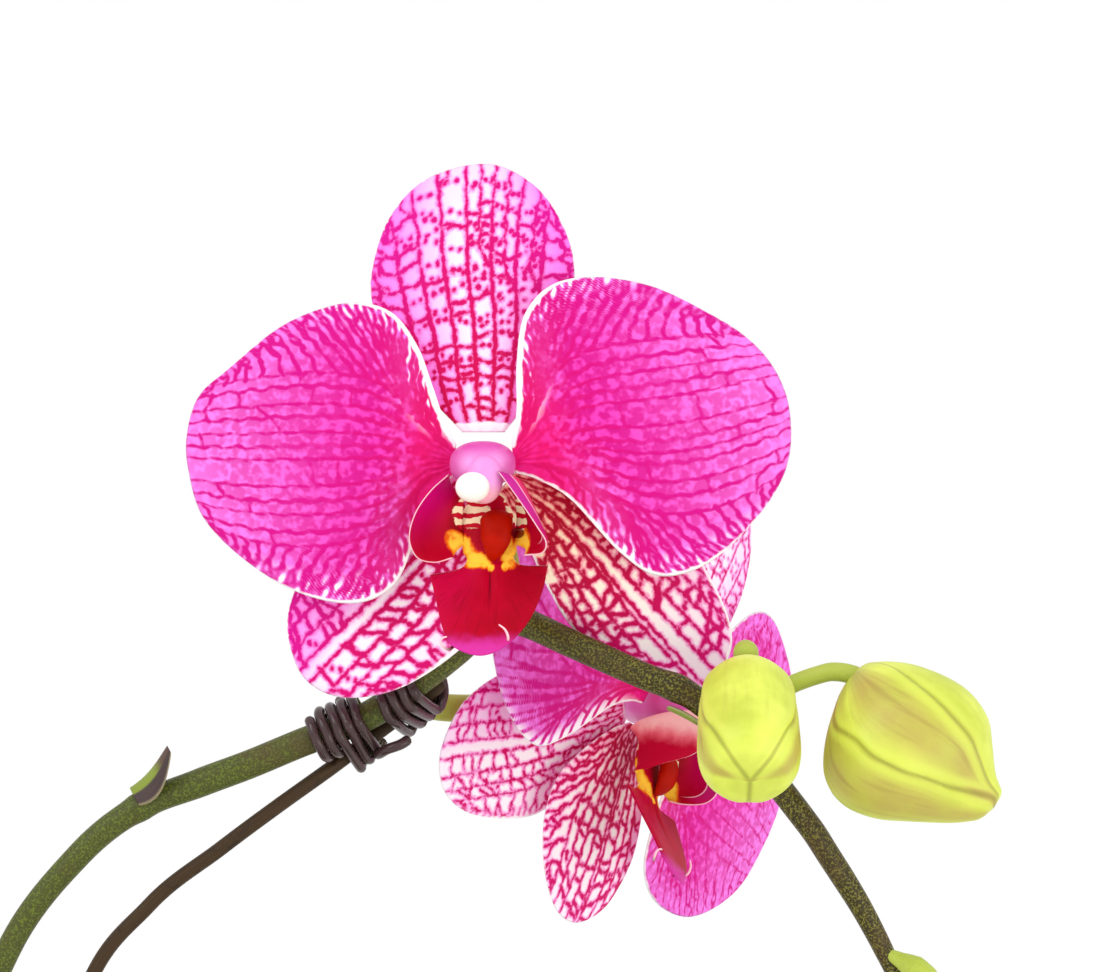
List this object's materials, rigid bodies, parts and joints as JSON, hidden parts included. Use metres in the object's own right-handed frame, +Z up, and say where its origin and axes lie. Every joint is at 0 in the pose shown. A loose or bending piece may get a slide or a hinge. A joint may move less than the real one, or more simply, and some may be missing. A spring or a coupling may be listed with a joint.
{
  "type": "potted orchid plant",
  "caption": "Potted moth orchid with strap leaves, aerial roots and an arching staked stem that carries open net-veined blooms and plump closed buds.",
  "frame": {"origin": "middle of the pot's flat underside, on the surface it stands on", "axes": "+Z up; -Y is the side that the first flower faces; +X towards the tip of the flower stem"},
  "size_m": [0.3432, 0.1795, 0.4557],
  "materials": {
    "clay": "unglazed fired clay, matt",
    "bark": "rough damp bark chips",
    "leaf": "waxy green leaf, satin",
    "root": "silver-green root skin, matt",
    "stem": "green stem flushed with brown, satin",
    "bract": "dry brown scale, matt",
    "stake": "thin brown rod, satin",
    "wire": "dark brown coated wire, glossy",
    "petal": "magenta pink petal with a darker net of veins, soft satin",
    "sepal": "white and cream sepal with a crimson net of veins, soft satin",
    "lip": "deep red waxy lip, satin",
    "column": "pink-lilac column, satin",
    "anther_cap": "cream-white cap, satin",
    "bud": "yellow-green closed bud, satin"
  },
  "bodies": {
    "root": {"pot": "clay", "potting_bark": "bark", "crown_stem": "leaf", "flower_spike": "stem", "stake": "stake", "tie_1": "wire", "tie_2": "wire", "bud_1": "bud", "bud_2": "bud", "leaf_1": "leaf", "leaf_2": "leaf", "leaf_3": "leaf", "leaf_4": "leaf", "leaf_5": "leaf", "root_1": "root", "root_2": "root", "root_3": "root", "root_4": "root", "root_5": "root", "root_6": "root", "bract_1": "bract", "bract_2": "bract", "bract_3": "bract", "flower_1_dorsal_sepal": "sepal", "flower_1_petal_left": "petal", "flower_1_petal_right": "petal", "flower_1_lateral_sepal_left": "sepal", "flower_1_lateral_sepal_right": "sepal", "flower_1_lip": "lip", "flower_1_column": "column", "flower_1_anther_cap": "anther_cap", "flower_2_dorsal_sepal": "sepal", "flower_2_petal_left": "petal", "flower_2_petal_right": "petal", "flower_2_lateral_sepal_left": "sepal", "flower_2_lateral_sepal_right": "sepal", "flower_2_lip": "lip", "flower_2_column": "column", "flower_2_anther_cap": "anther_cap"}
  },
  "joints": []
}
